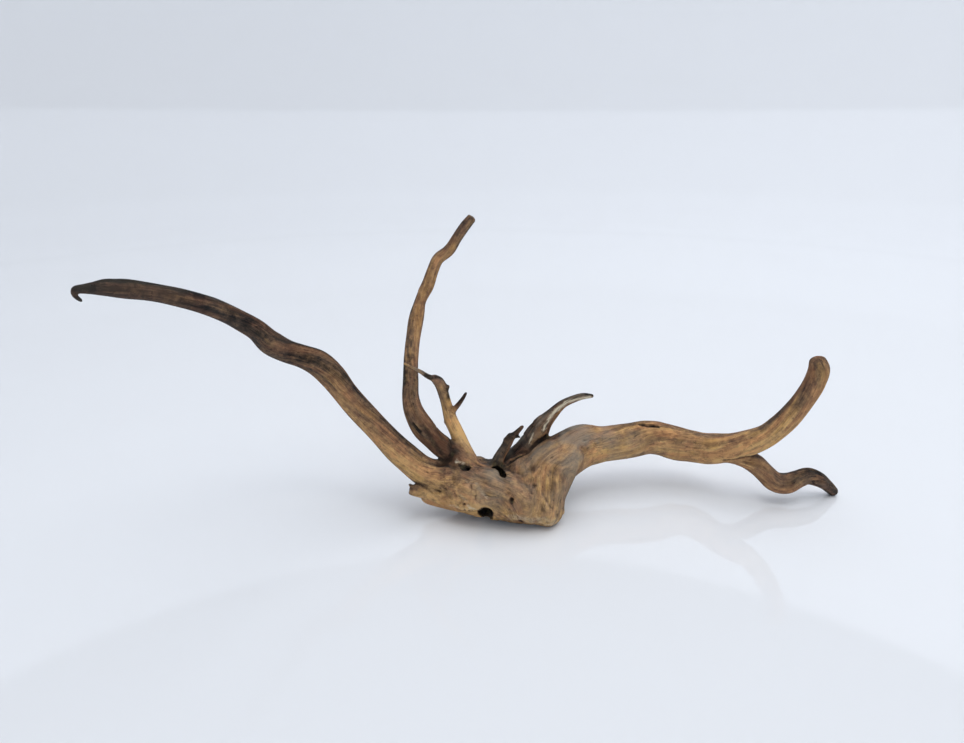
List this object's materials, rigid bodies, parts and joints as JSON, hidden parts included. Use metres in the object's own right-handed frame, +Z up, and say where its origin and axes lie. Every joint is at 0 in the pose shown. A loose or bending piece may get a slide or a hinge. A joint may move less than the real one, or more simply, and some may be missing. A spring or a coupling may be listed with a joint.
{
  "type": "dry root",
  "caption": "Branching piece of dry tree root with a low base, two long limbs that spread left and right, an upright shoot, thin twigs and a broken branch.",
  "frame": {"origin": "bottom centre of the whole root's box, on the surface that the root lies on", "axes": "+X along the long way, from the hooked left limb to the right limb's fork, -Y towards the side with the worn toe, +Z up"},
  "size_m": [0.6015, 0.1973, 0.2478],
  "materials": {
    "dry_wood": "bare, weathered and dull, with darker limbs and a pale strip on the broken branch"
  },
  "bodies": {
    "root": {"dry_root": "dry_wood"}
  },
  "joints": []
}
